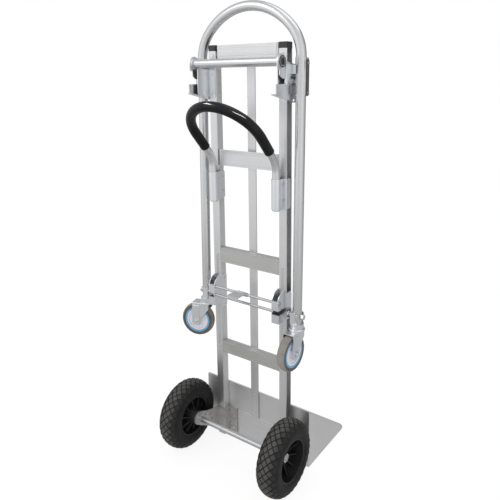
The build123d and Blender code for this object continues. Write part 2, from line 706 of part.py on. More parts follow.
for side, word in SIDES.items():
    with BuildPart() as clamp:
        with BuildSketch(Plane.XY.offset(CLAMP_FOOT)):
            with Locations((side * GRAB_X, GRAB_Y)):
                Circle(GRAB_R + RUN + SHEET)
            with Locations((side * GRAB_X, GRAB_Y / 2)):
                Rectangle(SADDLE_OUT - SADDLE_IN, -GRAB_Y)
            with Locations((side * GRAB_X, GRAB_Y)):
                Circle(GRAB_R + RUN, mode=Mode.SUBTRACT)
            with Locations((side * GRAB_X, GRAB_Y / 2 + 1)):
                Rectangle(2 * (GRAB_R + RUN), -GRAB_Y + 2, mode=Mode.SUBTRACT)
        extrude(amount=CLAMP_TOP - CLAMP_FOOT)
        tall = (CLAMP_FOOT, CLAMP_TOP)
        web_face = RAIL_IN - 2 * GAP - DOUBLER
        block((side * SADDLE_IN, side * web_face), (-SHEET - GAP, -GAP), tall)
        block((side * (web_face - SHEET), side * web_face), (-SHEET - GAP, 29), tall)
        block((side * (SADDLE_OUT - 1), side * EAR_OUT), (-SHEET - GAP, -GAP), tall)
        block((side * (EAR_OUT - SHEET), side * EAR_OUT), (-SHEET - GAP, 20), tall)
        rims = clamp.edges().filter_by(Axis.X).filter_by(lambda e: e.center().Y > 15)
        fillet(rims, radius=9)
        rivet_holes_x(side, RAIL_IN - 6, RAIL_IN + 1, WEB_RIVET_Y, CLAMP_RIVETS)
        for height in CLAMP_RIVETS:
            tube_across(-6.0, height, 2.6, side * 105, side * 148, Mode.SUBTRACT)
    save(clamp.part, f"rear_handle_clamp_{word}")

with BuildPart() as rear_handle_bolts:
    for side in SIDES:
        for height in CLAMP_RIVETS:
            tube_across(-6.0, height, 2.5, side * 110, side * (SADDLE_OUT + 3))
            tube_across(-6.0, height, 3.3, side * 108.5, side * (SADDLE_IN - 0.05))
            tube_across(-6.0, height, 3.3, side * (SADDLE_OUT + 0.05), side * (SADDLE_OUT + 3.5))
save(rear_handle_bolts.part, "rear_handle_bolts")


# ---------------------------------------------------------------- lower catch brackets
CATCH_LOW = 533.0
CATCH_HIGH = 661.0
arched_cheek = [
    (CATCH_REAR, 600),
    (CATCH_REAR, 634),
    (-34, 648),
    (-20, 659),
    (-GAP, 664),
    (-GAP, 600),
]
tall_cheek = [(CATCH_REAR, 556)] + arched_cheek[1:5] + [(-GAP, 556)]
small_cheek = [(CATCH_REAR, 556), (CATCH_REAR, 586), (-GAP, 586), (-GAP, 556)]

for side, word in SIDES.items():
    web_face = RAIL_IN - GAP
    with BuildPart() as catch:
        side_plate(side, tall_cheek, web_face - SHEET, SHEET)
        side_plate(side, arched_cheek, CATCH_OUT, SHEET)
        side_plate(side, small_cheek, CATCH_OUT + 3, SHEET)
        block((side * (web_face - SHEET), side * web_face), (-1, 29), (CATCH_LOW, CATCH_HIGH))
        fillet(catch.edges().filter_by(Axis.X).filter_by(lambda e: e.center().Y > 28), radius=9)
        rear_wall = (CATCH_REAR, CATCH_REAR + SHEET)
        block((side * (web_face - SHEET), side * (CATCH_OUT + SHEET)), rear_wall, (601, 634))
        block((side * (web_face - SHEET), side * (CATCH_OUT + 3 + SHEET)), rear_wall, (556, 586))
        shelf_x = (side * (web_face - SHEET), side * (CATCH_OUT + 3 + SHEET))
        block(shelf_x, (CATCH_REAR, -GAP), (556, 556 + SHEET))
        block((side * (CATCH_OUT - 12), side * EAR_OUT), (-SHEET - GAP, -GAP), (560, 655))
        block((side * (EAR_OUT - SHEET), side * EAR_OUT), (-SHEET - GAP, 28), (560, 655))
        fillet(catch.edges().filter_by(Axis.X).filter_by(
            lambda e: 27 < e.center().Y < 28.5 and abs(e.center().X) > 150), radius=8)
        block((side * (EAR_OUT - 1), side * 165), (12.5, 16), (568, 598))
        block((side * (EAR_OUT - 1), side * 165), (-SHEET - GAP, 16), (568, 571))
        rivet_holes_x(side, RAIL_IN - 4, RAIL_IN + 1, WEB_RIVET_Y, CATCH_RIVETS)
        tube_across(PEDAL_ROD_Y, PEDAL_ROD_Z, ROD_R + RUN, side * 118, side * 152, Mode.SUBTRACT)
        tube_across(LOCK_ROD_Y, LOCK_ROD_Z, ROD_R + RUN, side * 118, side * 130, Mode.SUBTRACT)
    save(catch.part, f"catch_bracket_{word}")

with BuildPart() as pedal_rod:
    tube_across(PEDAL_ROD_Y, PEDAL_ROD_Z, ROD_R, -CATCH_OUT - 6, CATCH_OUT + 6)
    for side in SIDES:
        outer_face = CATCH_OUT + SHEET
        tube_across(PEDAL_ROD_Y, PEDAL_ROD_Z, 6.5, side * (outer_face + 0.2), side * (outer_face + 3.5))
save(pedal_rod.part, "pedal_rod")

with BuildPart() as lock_rod:
    tube_across(LOCK_ROD_Y, LOCK_ROD_Z, ROD_R, -128, 128)
    for side in SIDES:
        tube_across(LOCK_ROD_Y, LOCK_ROD_Z, 5.9, side * (RAIL_IN + 0.2), side * (RAIL_IN + 3.5))
save(lock_rod.part, "lock_rod")

with BuildPart() as pedal:
    tube_across(PEDAL_ROD_Y, PEDAL_ROD_Z, 7.5, PEDAL_LEFT + 8, PEDAL_RIGHT - 8)
    block((PEDAL_LEFT, PEDAL_RIGHT), (PEDAL_REAR, PEDAL_ROD_Y - 7), (PEDAL_ROD_Z + 2, PEDAL_ROD_Z + 5.5))
    fillet(pedal.edges().filter_by(Axis.Z).filter_by(lambda e: e.center().Y < PEDAL_REAR + 1), radius=4)
    tread_z = (PEDAL_ROD_Z + 2, PEDAL_ROD_Z + 5.5)
    block((PEDAL_LEFT + 8, PEDAL_RIGHT - 8), (PEDAL_ROD_Y - 9, PEDAL_ROD_Y), tread_z)
    block((PEDAL_LEFT, PEDAL_RIGHT), (PEDAL_REAR, PEDAL_REAR + 3), (PEDAL_ROD_Z - 5, PEDAL_ROD_Z + 3))
    tube_across(PEDAL_ROD_Y, PEDAL_ROD_Z, ROD_R + RUN, PEDAL_LEFT - 1, PEDAL_RIGHT + 1, Mode.SUBTRACT)
save(pedal.part, "release_pedal")

SPRING_COIL_R = 6.0
with BuildPart() as pedal_spring:
    with BuildLine() as coil:
        Helix(
            pitch=2.4,
            height=12.0,
            radius=SPRING_COIL_R,
            center=(PEDAL_RIGHT - 7, PEDAL_ROD_Y, PEDAL_ROD_Z),
            direction=(1, 0, 0),
        )
    with BuildSketch(Plane(origin=coil.line @ 0, z_dir=coil.line % 0)):
        Circle(0.9)
    sweep(path=coil.wires()[0], is_frenet=True)
save(pedal_spring.part, "pedal_spring")


# ---------------------------------------------------------------- rivets of the frame
with BuildPart() as frame_rivets:
    for side in SIDES:
        for span in BRACES.values():
            places = [(BRACE_RIVET_Y, z) for z in brace_rivet_heights(span)]
            rivets_x(side, places, RAIL_IN - GAP - SHEET, RAIL_IN + RAIL_WALL)
        doubler_places = [(RAIL_DEPTH / 2, z) for z in DOUBLER_RIVETS]
        rivets_x(side, doubler_places, RAIL_IN - GAP - DOUBLER, RAIL_IN + RAIL_WALL)
        clamp_rivets = [(WEB_RIVET_Y, z) for z in CLAMP_RIVETS]
        rivets_x(side, clamp_rivets, RAIL_IN - 2 * GAP - DOUBLER - SHEET, RAIL_IN + RAIL_WALL)
        catch_rivets = [(WEB_RIVET_Y, z) for z in CATCH_RIVETS]
        rivets_x(side, catch_rivets, RAIL_IN - GAP - SHEET, RAIL_IN + RAIL_WALL)
        rivets_x(side, [(WEB_RIVET_Y, z) for z in AXLE_RIVETS], INNER_WALL, RAIL_IN + RAIL_WALL)
        flange_places = [(side * FLANGE_RIVET_X, z) for z in CHEEK_RIVETS]
        rivets_y(flange_places, -PLATE - GAP, RAIL_WALL)
        rivets_y(flange_places, RAIL_DEPTH - RAIL_WALL, RAIL_DEPTH + PLATE)
        rivets_y([(side * EDGE_RIVET_X, z) for z in EDGE_RIVETS], 0, RAIL_WALL)
        tube_across(LATCH_Y, LATCH_Z, 4.0, side * (CHEEK_OUT - 1), side * (LATCH_IN + SHEET + 0.4))
        tube_across(LATCH_Y, LATCH_Z, 6.5, side * (CHEEK_OUT - 3), side * CHEEK_OUT)
    rivets_y([(0, z) for z in STRAP_RIVETS], STRAP_BACK, LOAD_FACE)
    rivets_y(FLANGE_RIVETS, RAIL_DEPTH - 6, LOAD_FACE)
save(frame_rivets.part, "frame_rivets")


# ---------------------------------------------------------------- pivot collars
STRIP_SCREWS = (1307.0, 1394.0)
STRIP_TOP = 1405.0
STRIP_OUT = 219.0
for side, word in SIDES.items():
    with BuildPart() as collar:
        with BuildSketch(Plane.XY.offset(SLEEVE_FOOT)):
            with Locations((side * TUBE_X, TUBE_Y)):
                Circle(SLEEVE_R)
        extrude(amount=SLEEVE_TOP - SLEEVE_FOOT)
        boss_x = (side * (TUBE_X + 12), side * (TUBE_X + 21))
        block(boss_x, (TUBE_Y - 9, TUBE_Y + 9), (SLEEVE_FOOT + 2, SLEEVE_TOP - 2))
        tube_across(TUBE_Y, PIVOT_Z, PIVOT_R, side * 151, side * (TUBE_X - 10))
        tube_across(TUBE_Y, PIVOT_Z, 10.5, side * 150.5, side * (CHEEK_IN - 1))
        tube_across(TUBE_Y, PIVOT_Z, 13, side * (CHEEK_OUT + PLATE + 0.2), side * (TUBE_X - 12))
        with BuildSketch(Plane.XY.offset(SLEEVE_FOOT - 1)):
            with Locations((side * TUBE_X, TUBE_Y)):
                Circle(TUBE_R + RUN)
        extrude(amount=SLEEVE_TOP - SLEEVE_FOOT + 2, mode=Mode.SUBTRACT)
        for height in STRIP_SCREWS:
            tube_across(TUBE_Y, height, 2.55, side * (TUBE_X + 17), side * (TUBE_X + 30), Mode.SUBTRACT)
    save(hung(collar.part), f"pivot_collar_{word}")

with BuildPart() as collar_strips:
    for side in SIDES:
        start = side * (TUBE_X + 21 + GAP)
        with BuildSketch(Plane.YZ.offset(start)) as outline:
            with Locations((TUBE_Y, (STRIP_SCREWS[0] + STRIP_TOP) / 2)):
                RectangleRounded(14, STRIP_TOP - STRIP_SCREWS[0], 4)
            with Locations((TUBE_Y, STRIP_SCREWS[0])):
                Circle(9.5)
            for height in STRIP_SCREWS:
                with Locations((TUBE_Y, height)):
                    Circle(2.6, mode=Mode.SUBTRACT)
        extrude(outline.sketch, amount=side * (STRIP_OUT - TUBE_X - 21 - GAP))
save(hung(collar_strips.part), "collar_wear_strips")

with BuildPart() as collar_screws:
    for side in SIDES:
        for height in STRIP_SCREWS:
            tube_across(TUBE_Y, height, 2.5, side * (TUBE_X + 17.2), side * (STRIP_OUT + 1))
            tube_across(TUBE_Y, height, 4.8, side * (STRIP_OUT + 0.05), side * (STRIP_OUT + 2.5))
save(hung(collar_screws.part), "collar_screws")


# ---------------------------------------------------------------- loop handle and its feet
# The loop is a three-centred arch: two shoulder arcs and one flatter crown arc.
shoulder_x = TUBE_X - LOOP_CORNER_R
spare_rise = LOOP_RISE - LOOP_CORNER_R
crown_drop = (shoulder_x**2 - spare_rise**2) / (2 * spare_rise)
shoulder_angle = atan2(crown_drop, shoulder_x)


def on_shoulder(side, angle):
    """A point of the loop's shoulder arc, at an angle above the horizontal."""
    x = side * (shoulder_x + LOOP_CORNER_R * cos(angle))
    return (x, TUBE_Y, LOOP_BEND_Z + LOOP_CORNER_R * sin(angle))


with BuildPart() as loop_handle:
    with BuildLine() as loop_path:
        Line((-TUBE_X, TUBE_Y, TUBE_FOOT), on_shoulder(-1, 0))
        ThreePointArc(on_shoulder(-1, 0), on_shoulder(-1, shoulder_angle / 2), on_shoulder(-1, shoulder_angle))
        ThreePointArc(
            on_shoulder(-1, shoulder_angle),
            (0, TUBE_Y, LOOP_BEND_Z + LOOP_RISE),
            on_shoulder(1, shoulder_angle),
        )
        ThreePointArc(on_shoulder(1, shoulder_angle), on_shoulder(1, shoulder_angle / 2), on_shoulder(1, 0))
        Line(on_shoulder(1, 0), (TUBE_X, TUBE_Y, TUBE_FOOT))
    with BuildSketch(Plane.XY.offset(TUBE_FOOT)):
        with Locations((-TUBE_X, TUBE_Y)):
            Circle(TUBE_R)
            Circle(TUBE_R - TUBE_WALL, mode=Mode.SUBTRACT)
    sweep(path=loop_path.wires()[0])
    for side in SIDES:
        tube_across(TUBE_Y, BOLT_Z, BOLT_R + RUN, side * 170, side * 220, Mode.SUBTRACT)
save(hung(loop_handle.part), "loop_handle")

# Each foot clamp is a saddle over the inner half of the tube, with an ear and a heel gusset.
CLAMP_WALL = 2.4
CLAMP_REACH = TUBE_R + RUN
EAR = (203.0, 588.0)
saddle_side = [
    (FOOT_IN, FOOT_BASE),
    (208, FOOT_BASE),
    (208, FOOT_BASE + 3),
    (197, 574),
    (197, FOOT_TOP),
    (FOOT_IN, FOOT_TOP),
]

for side, word in SIDES.items():
    with BuildPart() as foot_clamp:
        for wall_y in (TUBE_Y - CLAMP_REACH, TUBE_Y + CLAMP_REACH + CLAMP_WALL):
            with BuildSketch(Plane.XZ.offset(-wall_y)) as wall:
                with BuildLine():
                    Polyline(*[(side * x, z) for x, z in saddle_side], close=True)
                make_face()
                with Locations((side * EAR[0], EAR[1])):
                    Circle(7)
                with Locations((side * EAR[0], EAR[1])):
                    Circle(2.6, mode=Mode.SUBTRACT)
            extrude(wall.sketch, amount=CLAMP_WALL)
        block(
            (side * FOOT_IN, side * (TUBE_X - TUBE_R - RUN)),
            (TUBE_Y - CLAMP_REACH - CLAMP_WALL, TUBE_Y + CLAMP_REACH + CLAMP_WALL),
            (FOOT_BASE, FOOT_TOP),
        )
        for level in (FOOT_BASE, FOOT_TOP - CLAMP_WALL):
            with BuildSketch(Plane.XY.offset(level)) as web:
                with Locations((side * (FOOT_IN + TUBE_X) / 2, TUBE_Y)):
                    Rectangle(TUBE_X - FOOT_IN, 2 * (CLAMP_REACH + CLAMP_WALL))
                with Locations((side * TUBE_X, TUBE_Y)):
                    Circle(CLAMP_REACH, mode=Mode.SUBTRACT)
            extrude(web.sketch, amount=CLAMP_WALL)
        corners = foot_clamp.edges().filter_by(Axis.Z).filter_by(lambda e: abs(e.center().X) < FOOT_IN + 0.1)
        fillet(corners, radius=1.5)
        tube_across(TUBE_Y, BOLT_Z, BOLT_R + RUN, side * 170, side * 190, Mode.SUBTRACT)
    save(hung(foot_clamp.part), f"foot_clamp_{word}")

with BuildPart() as foot_bolts:
    for side in SIDES:
        tube_across(TUBE_Y, BOLT_Z, BOLT_R, side * 160, side * 220)
        tube_across(TUBE_Y, BOLT_Z, ROLLER_R, side * 160, side * 165.5)
        tube_across(TUBE_Y, BOLT_Z, 10.5, side * (TUBE_X + TUBE_R + 0.1), side * 213)
        hex_across(TUBE_Y, BOLT_Z, 17, side * 213, side * 221)
        for wall_y, out in ((TUBE_Y - CLAMP_REACH, -1), (TUBE_Y + CLAMP_REACH, 1)):
            seat = wall_y + out * (CLAMP_WALL + 0.05)
            for start, end, radius in ((wall_y - out * 0.5, seat, 2.5), (seat, seat + out * 3, 5.0)):
                with BuildSketch(Plane.XZ.offset(-start)) as section:
                    with Locations((side * EAR[0], EAR[1])):
                        Circle(radius)
                extrude(section.sketch, amount=start - end)
save(hung(foot_bolts.part), "foot_bolts")


# ---------------------------------------------------------------- swivel casters
RACE_TOP = FOOT_BASE - 0.2
for side, word in SIDES.items():
    with BuildPart() as stem:
        for low, high, radius in (
            (FOOT_BASE - 0.2, BOLT_Z - 9, TUBE_R - TUBE_WALL - RUN),
            (HEAD_TOP + 0.2, RACE_TOP, 23.0),
            (FORK_PLATE_Z - 2, HEAD_TOP + 1, 6.0),
            (FORK_PLATE_Z - 5.5, FORK_PLATE_Z - 0.2, 7.5),
        ):
            with BuildSketch(Plane.XY.offset(low)):
                with Locations((side * TUBE_X, TUBE_Y)):
                    Circle(radius)
            extrude(amount=high - low)
    save(hung(stem.part), f"caster_stem_{word}")


def fork_place(side):
    """The caster's own frame: swivel axis at its origin, trailing toward local -Y."""
    return Location((side * TUBE_X, TUBE_Y, 0), (0, 0, FORK_TURN[side]))


def placed(side, part):
    return hung(fork_place(side) * part)


fork_leg = [
    (-53, FORK_PLATE_TOP),
    (-53, 455),
    (-46, 448),
    (-28, 448),
    (-21, 456),
    (-21, 474),
    (12, 514),
    (12, FORK_PLATE_TOP),
]
LEG_OUT = FORK_HALF + PLATE

with BuildPart() as fork_model:
    block((-LEG_OUT, LEG_OUT), (-53, 14), (FORK_PLATE_Z, FORK_PLATE_TOP))
    for leg in (-1, 1):
        side_plate(leg, fork_leg, FORK_HALF, PLATE)
    folds = fork_model.edges().filter_by(Axis.Y).filter_by(lambda e: e.center().Z > FORK_PLATE_TOP - 0.1)
    fillet(folds, radius=3)
    for leg in (-1, 1):
        block((leg * (LEG_OUT - 0.5), leg * (LEG_OUT + 1.2)), (-50.5, -23.5), (451, 527))
    ribs = fork_model.edges().filter_by(lambda e: abs(abs(e.center().X) - LEG_OUT - 1.2) < 0.01)
    chamfer(ribs, length=0.8)
    with BuildSketch(Plane.XY.offset(FORK_PLATE_TOP - 1)):
        Circle(27)
    extrude(amount=6)
    with BuildSketch(Plane.XY.offset(FORK_PLATE_TOP)):
        Circle(22.5)
    extrude(amount=HEAD_TOP - FORK_PLATE_TOP)
    shoulder = fork_model.edges().filter_by(GeomType.CIRCLE).filter_by(
        lambda e: abs(e.radius - 27) < 0.01 and e.center().Z > FORK_PLATE_TOP + 1)
    fillet(shoulder, radius=3.5)
    tube_across(-CASTER_TRAIL, CASTER_Z, 5.0 + RUN, -40, 40, Mode.SUBTRACT)
    with BuildSketch(Plane.XY.offset(500)):
        Circle(6.0 + RUN)
    extrude(amount=60, mode=Mode.SUBTRACT)
    with BuildSketch(Plane.XY.offset(FORK_PLATE_TOP + 2)):
        Circle(18)
        Circle(9, mode=Mode.SUBTRACT)
    extrude(amount=20, mode=Mode.SUBTRACT)

with BuildPart() as caster_axle_model:
    tube_across(-CASTER_TRAIL, CASTER_Z, 5.0, -26.5, 30)
    for face, far in ((-1, 26), (1, 28.5)):
        tube_across(-CASTER_TRAIL, CASTER_Z, 9.5, face * (LEG_OUT + 1.25), face * (LEG_OUT + 2.4))
        hex_across(-CASTER_TRAIL, CASTER_Z, 15, face * (LEG_OUT + 2.4), face * far)
    chamfer(caster_axle_model.edges().filter_by(GeomType.CIRCLE).filter_by(
        lambda e: abs(e.center().X - 30) < 0.01), length=1.4)

with BuildPart() as caster_tyre_model:
    with BuildSketch(Plane.XZ.offset(CASTER_TRAIL)):
        with BuildLine():
            bead = CASTER_Z + BAND_R + GAP
            Polyline((-CASTER_HALF, CASTER_Z + 58.5), (-CASTER_HALF, bead + 2.5), (-13, bead), (13, bead))
            Polyline((13, bead), (CASTER_HALF, bead + 2.5), (CASTER_HALF, CASTER_Z + 58.5))
            ThreePointArc(
                (CASTER_HALF, CASTER_Z + 58.5), (0, CASTER_Z + CASTER_R), (-CASTER_HALF, CASTER_Z + 58.5)
            )
        make_face()
    revolve(axis=Axis((0, -CASTER_TRAIL, CASTER_Z), (1, 0, 0)))

with BuildPart() as caster_band_model:
    tube_across(-CASTER_TRAIL, CASTER_Z, BAND_R, -14, 14)
    tube_across(-CASTER_TRAIL, CASTER_Z, BAND_IN, -16, 16, Mode.SUBTRACT)

with BuildPart() as caster_hub_model:
    tube_across(-CASTER_TRAIL, CASTER_Z, BAND_IN - GAP, -13, 13)
    for face in (-1, 1):
        tube_across(-CASTER_TRAIL, CASTER_Z, BAND_IN - 6, face * 10, face * 14, Mode.SUBTRACT)
    tube_across(-CASTER_TRAIL, CASTER_Z, 15, -16.5, 16.5)
    tube_across(-CASTER_TRAIL, CASTER_Z, 9 + RUN, -20, 20, Mode.SUBTRACT)

with BuildPart() as caster_bush_model:
    tube_across(-CASTER_TRAIL, CASTER_Z, 9, -FORK_HALF + 0.3, FORK_HALF - 0.3)
    tube_across(-CASTER_TRAIL, CASTER_Z, 5.0 + RUN, -22, 22, Mode.SUBTRACT)

for side, word in SIDES.items():
    save(placed(side, fork_model.part), f"caster_fork_{word}")
    save(placed(side, caster_axle_model.part), f"caster_axle_{word}")
    save(placed(side, caster_tyre_model.part), f"caster_tyre_{word}")
    save(placed(side, caster_band_model.part), f"caster_band_{word}")
    save(placed(side, caster_hub_model.part), f"caster_hub_{word}")
    save(placed(side, caster_bush_model.part), f"caster_bush_{word}")
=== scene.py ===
"""Looks of the convertible hand truck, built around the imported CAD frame. Metres, +Z up."""

from math import cos, pi, radians, sin, sqrt

import bmesh
import bpy
from mathutils import Matrix, Vector


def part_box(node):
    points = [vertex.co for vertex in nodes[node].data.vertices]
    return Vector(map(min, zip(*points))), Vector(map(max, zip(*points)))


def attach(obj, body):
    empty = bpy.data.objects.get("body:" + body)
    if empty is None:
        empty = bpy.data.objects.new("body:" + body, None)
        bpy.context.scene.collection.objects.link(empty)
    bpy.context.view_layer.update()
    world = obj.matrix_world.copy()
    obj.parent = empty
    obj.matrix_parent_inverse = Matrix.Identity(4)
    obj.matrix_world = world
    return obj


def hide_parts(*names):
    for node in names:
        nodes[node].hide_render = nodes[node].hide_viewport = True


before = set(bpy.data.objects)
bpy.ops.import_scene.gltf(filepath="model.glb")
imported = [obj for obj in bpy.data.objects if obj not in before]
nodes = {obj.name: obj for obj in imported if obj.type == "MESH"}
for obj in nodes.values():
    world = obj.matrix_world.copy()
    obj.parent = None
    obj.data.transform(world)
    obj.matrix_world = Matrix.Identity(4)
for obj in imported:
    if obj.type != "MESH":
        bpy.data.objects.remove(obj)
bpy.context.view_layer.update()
SIDES = {-1: "left", 1: "right"}


# ---------------------------------------------------------------- material building blocks
class Nodes:
    """A thin wrapper that makes procedural materials short to write."""

    def __init__(self, name):
        self.mat = bpy.data.materials.new(name)
        self.mat.use_nodes = True
        self.tree = self.mat.node_tree
        self.bsdf = self.tree.nodes["Principled BSDF"]
        self.coord = self.add("ShaderNodeTexCoord").outputs["Object"]

    def add(self, kind, **settings):
        node = self.tree.nodes.new(kind)
        for key, value in settings.items():
            setattr(node, key, value)
        return node

    def link(self, source, target):
        self.tree.links.new(source, target)

    def scaled(self, scale):
        mapping = self.add("ShaderNodeMapping")
        mapping.inputs["Scale"].default_value = scale
        self.link(self.coord, mapping.inputs["Vector"])
        return mapping.outputs["Vector"]

    def noise(self, scale, detail=3.0, vector=None, roughness=0.55):
        node = self.add("ShaderNodeTexNoise")
        node.inputs["Scale"].default_value = scale
        node.inputs["Detail"].default_value = detail
        node.inputs["Roughness"].default_value = roughness
        self.link(vector or self.coord, node.inputs["Vector"])
        return node.outputs["Fac"]

    def spread(self, value, low, high, to_low, to_high):
        node = self.add("ShaderNodeMapRange")
        for key, number in (("From Min", low), ("From Max", high), ("To Min", to_low), ("To Max", to_high)):
            node.inputs[key].default_value = number
        self.link(value, node.inputs["Value"])
        return node.outputs["Result"]

    def mix(self, factor, low, high):
        """Mixes two colours, each a tuple or a socket."""
        node = self.add("ShaderNodeMix", data_type="RGBA")
        self.link(factor, node.inputs["Factor"])
        for slot, colour in (("A", low), ("B", high)):
            socket = next(s for s in node.inputs if s.name == slot and s.type == "RGBA")
            if isinstance(colour, tuple):
                socket.default_value = (*colour, 1.0)
            else:
                self.link(colour, socket)
        return next(s for s in node.outputs if s.type == "RGBA")

    def maths(self, operation, first, second):
        node = self.add("ShaderNodeMath", operation=operation)
        for socket, value in zip(node.inputs, (first, second)):
            if isinstance(value, (int, float)):
                socket.default_value = value
            else:
                self.link(value, socket)
        return node.outputs["Value"]

    def weighted(self, first, first_share, second, second_share):
        """Adds two values, each times its share."""
        return self.maths(
            "ADD", self.maths("MULTIPLY", first, first_share), self.maths("MULTIPLY", second, second_share)
        )

    def between(self, value, low, high, start=0.3, end=0.7):
        """Runs from one colour to another as a value goes from start to end."""
        return self.mix(self.spread(value, start, end, 0.0, 1.0), low, high)

    def bump(self, height, distance, strength=1.0, after=None):
        node = self.add("ShaderNodeBump")
        node.inputs["Distance"].default_value = distance
        node.inputs["Strength"].default_value = strength
        self.link(height, node.inputs["Height"])
        if after is not None:
            self.link(after, node.inputs["Normal"])
        return node.outputs["Normal"]

    def shaded(self, colour, reach, painted_shade_share):
        """Paints shade into a colour: ambient occlusion darkens it inside pockets and narrow gaps."""
        node = self.add("ShaderNodeAmbientOcclusion", samples=12)
        node.inputs["Distance"].default_value = reach
        # painted shade: where the occlusion is strongest, the colour keeps only the given share
        open_share = self.spread(node.outputs["AO"], 0.25, 0.85, painted_shade_share, 1.0)
        scale = self.add("ShaderNodeVectorMath", operation="SCALE")
        self.link(colour, scale.inputs[0])
        self.link(open_share, scale.inputs["Scale"])
        return scale.outputs["Vector"]

    def radius_from(self, centre, axis):
        """Distance from an axle through a centre."""
        offset = self.add("ShaderNodeVectorMath", operation="SUBTRACT")
        self.link(self.coord, offset.inputs[0])
        offset.inputs[1].default_value = centre
        across = self.add("ShaderNodeVectorMath", operation="CROSS_PRODUCT")
        self.link(offset.outputs["Vector"], across.inputs[0])
        across.inputs[1].default_value = axis
        length = self.add("ShaderNodeVectorMath", operation="LENGTH")
        self.link(across.outputs["Vector"], length.inputs[0])
        return length.outputs["Value"]

    def set(self, **values):
        names = {
            "colour": "Base Color",
            "metallic": "Metallic",
            "roughness": "Roughness",
            "normal": "Normal",
            "specular": "Specular IOR Level",
        }
        for key, value in values.items():
            socket = self.bsdf.inputs[names[key]]
            if isinstance(value, tuple):
                socket.default_value = (*value, 1.0)
            elif isinstance(value, (int, float)):
                socket.default_value = value
            else:
                self.link(value, socket)
        return self.mat


GRAIN_LENGTH = 60          # how many times longer than wide the lines in brushed metal are
POCKET_REACH = 0.02        # surfaces nearer than this paint shade on each other
CASTER_TREAD = (0.0582, 0.0602)    # radii between which a caster tyre turns from wall to tread


def brushed(name, along, light, dark, rough_low, rough_high, grain=260.0, relief=0.000008, painted_shade_share=0.85):
    """Metal with fine lines running along one axis, slow patches of tone, and painted shade in its pockets.
    """
    n = Nodes(name)
    stretch = [grain, grain, grain]
    stretch["XYZ".index(along)] = grain / GRAIN_LENGTH
    lines = n.noise(1.0, 4.0, n.scaled(tuple(stretch)), 0.7)
    patches = n.noise(7.0, 3.0)
    tone = n.weighted(lines, 0.6, patches, 0.4)
    colour = n.between(tone, dark, light, 0.35, 0.65)
    rough = n.spread(tone, 0.3, 0.7, rough_low, rough_high)
    # painted shade: darker where other surfaces crowd in
    colour = n.shaded(colour, POCKET_REACH, painted_shade_share)
    return n.set(colour=colour, metallic=1.0, roughness=rough, normal=n.bump(lines, relief, 0.5))


def zinc(name, light, dark, rough_low, rough_high, painted_shade_share=0.65):
    """Zinc-plated pressed steel: a faint cool mottle with slightly uneven gloss, and painted shade in its
    pockets.
    """
    n = Nodes(name)
    patches = n.noise(32.0, 4.0, roughness=0.6)
    blue = n.noise(16.0, 2.0)
    fine = n.noise(420.0, 3.0)
    colour = n.between(patches, dark, light)
    cool = n.mix(n.spread(blue, 0.40, 0.80, 0.0, 0.25), colour, (0.50, 0.58, 0.66))
    rough = n.spread(patches, 0.3, 0.7, rough_low, rough_high)
    # painted shade: darker where other surfaces crowd in
    colour = n.shaded(cool, POCKET_REACH, painted_shade_share)
    return n.set(colour=colour, metallic=1.0, roughness=rough, normal=n.bump(fine, 0.000004, 0.25))


def cast(name, light, dark):
    """Sand-cast aluminium: a fine pebbled skin that is darker in its hollows."""
    n = Nodes(name)
    grit = n.noise(650.0, 4.0, roughness=0.75)
    patches = n.noise(40.0, 3.0)
    colour = n.between(n.weighted(grit, 0.5, patches, 0.5), dark, light, 0.35, 0.65)
    rough = n.spread(grit, 0.2, 0.8, 0.42, 0.62)
    return n.set(colour=colour, metallic=1.0, roughness=rough, normal=n.bump(grit, 0.00018, 0.6))


def plastic(name, colour, tint, rough_low, rough_high, relief=0.00006, specular=0.5):
    """Moulded plastic with a fine texture and slight tone changes."""
    n = Nodes(name)
    texture = n.noise(500.0, 3.0)
    patches = n.noise(14.0, 3.0)
    tone = n.between(patches, colour, tint)
    rough = n.spread(n.weighted(texture, 0.4, patches, 0.6), 0.35, 0.65, rough_low, rough_high)
    return n.set(colour=tone, roughness=rough, specular=specular, normal=n.bump(texture, relief, 0.5))


def vinyl(name):
    """Glossy dipped vinyl: a thick black skin with soft, slightly wavy reflections."""
    n = Nodes(name)
    wave = n.noise(22.0, 2.0)
    fine = n.noise(380.0, 3.0)
    colour = n.between(wave, (0.003, 0.003, 0.0035), (0.006, 0.006, 0.0065))
    normal = n.bump(fine, 0.00002, 0.3, n.bump(wave, 0.0012, 0.2))
    rough = n.spread(fine, 0.3, 0.7, 0.12, 0.18)
    return n.set(colour=colour, roughness=rough, specular=0.2, normal=normal)


def tyre_rubber(name):
    """Black rubber: dusty, lighter faces on the tread blocks and darker grooves and walls."""
    n = Nodes(name)
    tread = n.add("ShaderNodeAttribute", attribute_name="tread").outputs["Fac"]
    fine = n.noise(700.0, 4.0, roughness=0.7)
    dust = n.noise(45.0, 4.0, roughness=0.6)
    wall = n.between(dust, (0.009, 0.009, 0.009), (0.018, 0.0175, 0.017))
    face = n.between(dust, (0.066, 0.064, 0.061), (0.100, 0.097, 0.093))
    colour = n.mix(tread, wall, face)
    rough = n.spread(n.weighted(fine, 0.3, tread, 0.5), 0.1, 0.7, 0.5, 0.8)
    return n.set(colour=colour, roughness=rough, specular=0.22, normal=n.bump(fine, 0.0001, 0.4))


def soft_rubber(name, centre, axis):
    """The casters' grey-brown rubber: a scuffed, paler running surface and darker walls."""
    n = Nodes(name)
    scuff = n.noise(220.0, 5.0, roughness=0.7)
    patches = n.noise(30.0, 3.0)
    wall = n.between(patches, (0.085, 0.073, 0.062), (0.125, 0.108, 0.093))
    running = n.between(patches, (0.21, 0.195, 0.18), (0.28, 0.262, 0.245))
    colour = n.between(n.radius_from(centre, axis), wall, running, *CASTER_TREAD)
    rough = n.spread(scuff, 0.3, 0.7, 0.5, 0.68)
    return n.set(colour=colour, roughness=rough, specular=0.3, normal=n.bump(scuff, 0.00004, 0.4))


